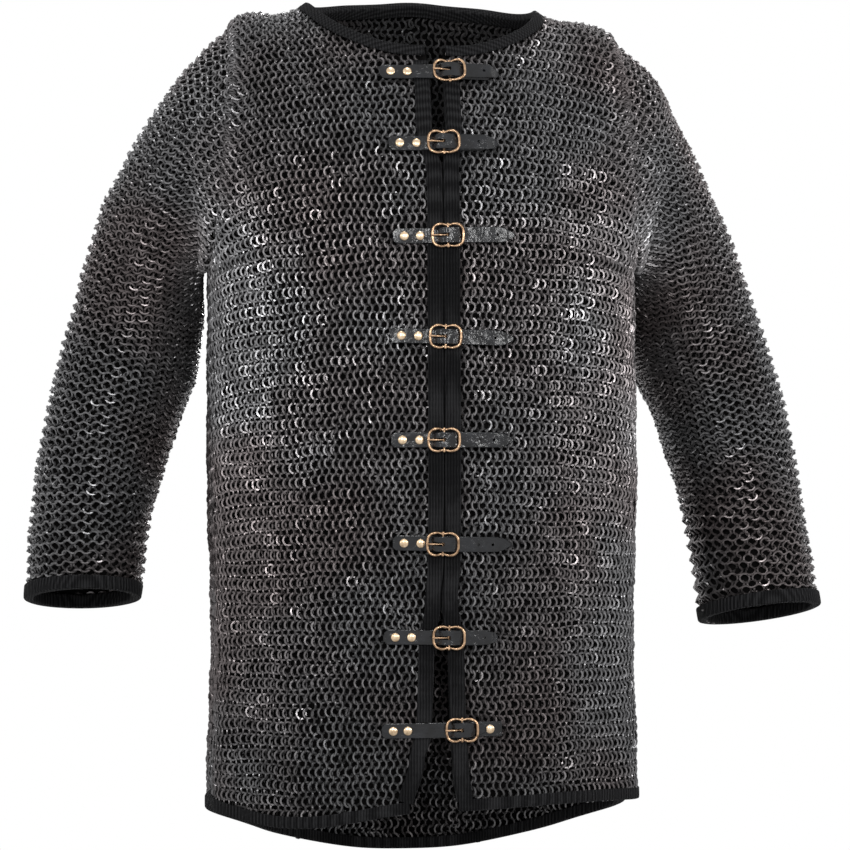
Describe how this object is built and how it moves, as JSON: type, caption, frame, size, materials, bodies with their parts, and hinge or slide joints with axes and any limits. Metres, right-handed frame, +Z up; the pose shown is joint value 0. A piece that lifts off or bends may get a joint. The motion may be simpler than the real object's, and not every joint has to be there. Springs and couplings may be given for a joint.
{
  "type": "chainmail jacket",
  "caption": "Long-sleeved open-front mail jacket with cloth-bound edges, closed by riveted leather straps and centre-bar buckles down the front.",
  "frame": {"origin": "between the wearer's shoulders, at the height of the shoulder points", "axes": "+Z up the body, -Y out of the buckled front, +X to the wearer's left sleeve"},
  "size_m": [0.8429, 0.3245, 0.9159],
  "materials": {
    "blackened_steel_mail": "blackened, worn bright on the crests",
    "black_cloth_binding": "matt ribbed cloth",
    "black_leather": "semi-gloss",
    "antique_brass": "aged satin",
    "pale_brass": "satin"
  },
  "bodies": {
    "jacket": {"mail_front_right": "blackened_steel_mail", "mail_front_left": "blackened_steel_mail", "mail_back": "blackened_steel_mail", "mail_sleeve_right": "blackened_steel_mail", "mail_sleeve_left": "blackened_steel_mail", "hem_binding": "black_cloth_binding", "neck_binding": "black_cloth_binding", "front_edge_binding_right": "black_cloth_binding", "front_edge_binding_left": "black_cloth_binding", "cuff_binding_right": "black_cloth_binding", "cuff_binding_left": "black_cloth_binding", "strap_1": "black_leather", "strap_2": "black_leather", "strap_3": "black_leather", "strap_4": "black_leather", "strap_5": "black_leather", "strap_6": "black_leather", "strap_7": "black_leather", "strap_8": "black_leather", "chape_1": "black_leather", "chape_2": "black_leather", "chape_3": "black_leather", "chape_4": "black_leather", "chape_5": "black_leather", "chape_6": "black_leather", "chape_7": "black_leather", "chape_8": "black_leather", "rivet_outer_1": "pale_brass", "rivet_outer_2": "pale_brass", "rivet_outer_3": "pale_brass", "rivet_outer_4": "pale_brass", "rivet_outer_5": "pale_brass", "rivet_outer_6": "pale_brass", "rivet_outer_7": "pale_brass", "rivet_outer_8": "pale_brass", "rivet_inner_1": "pale_brass", "rivet_inner_2": "pale_brass", "rivet_inner_3": "pale_brass", "rivet_inner_4": "pale_brass", "rivet_inner_5": "pale_brass", "rivet_inner_6": "pale_brass", "rivet_inner_7": "pale_brass", "rivet_inner_8": "pale_brass", "chape_rivet_8": "pale_brass"},
    "buckle_frame_1": {"buckle_frame_1": "antique_brass"},
    "prong_1": {"prong_1": "antique_brass"},
    "buckle_frame_2": {"buckle_frame_2": "antique_brass"},
    "prong_2": {"prong_2": "antique_brass"},
    "buckle_frame_3": {"buckle_frame_3": "antique_brass"},
    "prong_3": {"prong_3": "antique_brass"},
    "buckle_frame_4": {"buckle_frame_4": "antique_brass"},
    "prong_4": {"prong_4": "antique_brass"},
    "buckle_frame_5": {"buckle_frame_5": "antique_brass"},
    "prong_5": {"prong_5": "antique_brass"},
    "buckle_frame_6": {"buckle_frame_6": "antique_brass"},
    "prong_6": {"prong_6": "antique_brass"},
    "buckle_frame_7": {"buckle_frame_7": "antique_brass"},
    "prong_7": {"prong_7": "antique_brass"},
    "buckle_frame_8": {"buckle_frame_8": "antique_brass"},
    "prong_8": {"prong_8": "antique_brass"}
  },
  "joints": [
    {"name": "buckle_rock_1", "type": "hinge", "parent": "jacket", "child": "buckle_frame_1", "pos_m": [0.01336, -0.12068, -0.06474], "axis": [-0.0087, 0.4049, 0.9143], "range_deg": [-3, 3]},
    {"name": "prong_lift_1", "type": "hinge", "parent": "buckle_frame_1", "child": "prong_1", "pos_m": [0.01336, -0.12068, -0.06474], "axis": [-0.0087, 0.4049, 0.9143], "range_deg": [0, 20]},
    {"name": "buckle_rock_2", "type": "hinge", "parent": "jacket", "child": "buckle_frame_2", "pos_m": [0.00418, -0.14562, -0.1392], "axis": [-0.0046, 0.2272, 0.9738], "range_deg": [-3, 3]},
    {"name": "prong_lift_2", "type": "hinge", "parent": "buckle_frame_2", "child": "prong_2", "pos_m": [0.00418, -0.14562, -0.1392], "axis": [-0.0046, 0.2272, 0.9738], "range_deg": [0, 20]},
    {"name": "buckle_rock_3", "type": "hinge", "parent": "jacket", "child": "buckle_frame_3", "pos_m": [0.00676, -0.15869, -0.23393], "axis": [-0.0178, 0.0495, 0.9986], "range_deg": [-3, 3]},
    {"name": "prong_lift_3", "type": "hinge", "parent": "buckle_frame_3", "child": "prong_3", "pos_m": [0.00676, -0.15869, -0.23393], "axis": [-0.0178, 0.0495, 0.9986], "range_deg": [0, 20]},
    {"name": "buckle_rock_4", "type": "hinge", "parent": "jacket", "child": "buckle_frame_4", "pos_m": [0.00402, -0.16115, -0.33623], "axis": [0.0261, 0.0398, 0.9989], "range_deg": [-3, 3]},
    {"name": "prong_lift_4", "type": "hinge", "parent": "buckle_frame_4", "child": "prong_4", "pos_m": [0.00402, -0.16115, -0.33623], "axis": [0.0261, 0.0398, 0.9989], "range_deg": [0, 20]},
    {"name": "buckle_rock_5", "type": "hinge", "parent": "jacket", "child": "buckle_frame_5", "pos_m": [0.00201, -0.16507, -0.44049], "axis": [0, 0.0209, 0.9998], "range_deg": [-3, 3]},
    {"name": "prong_lift_5", "type": "hinge", "parent": "buckle_frame_5", "child": "prong_5", "pos_m": [0.00201, -0.16507, -0.44049], "axis": [0, 0.0209, 0.9998], "range_deg": [0, 20]},
    {"name": "buckle_rock_6", "type": "hinge", "parent": "jacket", "child": "buckle_frame_6", "pos_m": [0.001, -0.16314, -0.54539], "axis": [0.0175, -0.0485, 0.9987], "range_deg": [-3, 3]},
    {"name": "prong_lift_6", "type": "hinge", "parent": "buckle_frame_6", "child": "prong_6", "pos_m": [0.001, -0.16314, -0.54539], "axis": [0.0175, -0.0485, 0.9987], "range_deg": [0, 20]},
    {"name": "buckle_rock_7", "type": "hinge", "parent": "jacket", "child": "buckle_frame_7", "pos_m": [0.00776, -0.15943, -0.64006], "axis": [0.0088, -0.0105, 0.9999], "range_deg": [-3, 3]},
    {"name": "prong_lift_7", "type": "hinge", "parent": "buckle_frame_7", "child": "prong_7", "pos_m": [0.00776, -0.15943, -0.64006], "axis": [0.0088, -0.0105, 0.9999], "range_deg": [0, 20]},
    {"name": "buckle_rock_8", "type": "hinge", "parent": "jacket", "child": "buckle_frame_8", "pos_m": [0.02124, -0.15818, -0.73326], "axis": [-0.017, -0.0183, 0.9997], "range_deg": [-3, 3]},
    {"name": "prong_lift_8", "type": "hinge", "parent": "buckle_frame_8", "child": "prong_8", "pos_m": [0.02124, -0.15818, -0.73326], "axis": [-0.017, -0.0183, 0.9997], "range_deg": [0, 20]}
  ]
}
